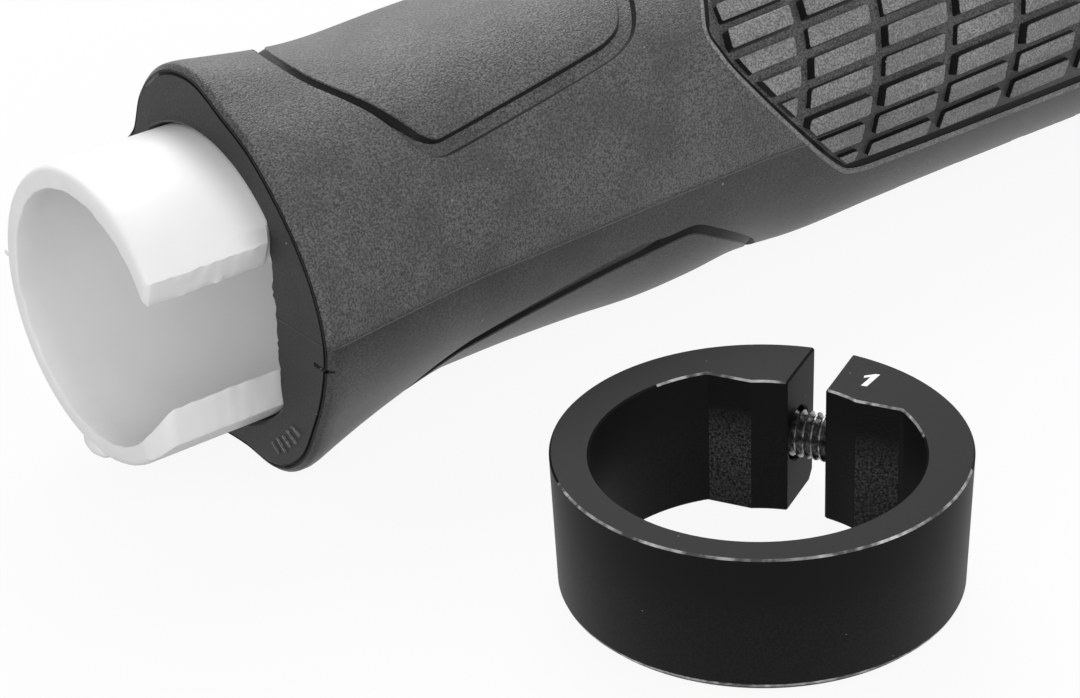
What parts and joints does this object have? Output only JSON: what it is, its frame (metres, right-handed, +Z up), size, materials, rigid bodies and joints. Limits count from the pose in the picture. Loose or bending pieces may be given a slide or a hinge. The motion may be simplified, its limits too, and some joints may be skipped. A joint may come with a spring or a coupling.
{
  "type": "handlebar grip",
  "caption": "Lock-on handlebar grip: a moulded rubber grip with brick-patterned palm pad bonded on a hard plastic sleeve, with its clamp ring and screw standing beside it.",
  "frame": {"origin": "on the floor under the middle of the bounding box of the whole set", "axes": "+X along the grip from its open mouth to its closed outer end, +Z up, the clamp ring on the -Y side"},
  "size_m": [0.1352, 0.0826, 0.0346],
  "materials": {
    "rubber": "matt dark grey with a fine moulded grain",
    "sleeve_plastic": "plain white moulded plastic, satin",
    "ring_metal": "black anodised, satin, bare of print",
    "screw_steel": "black oxide"
  },
  "bodies": {
    "root": {"rubber_grip": "rubber", "core_sleeve": "sleeve_plastic", "clamp_ring": "ring_metal", "clamp_screw": "screw_steel"}
  },
  "joints": []
}
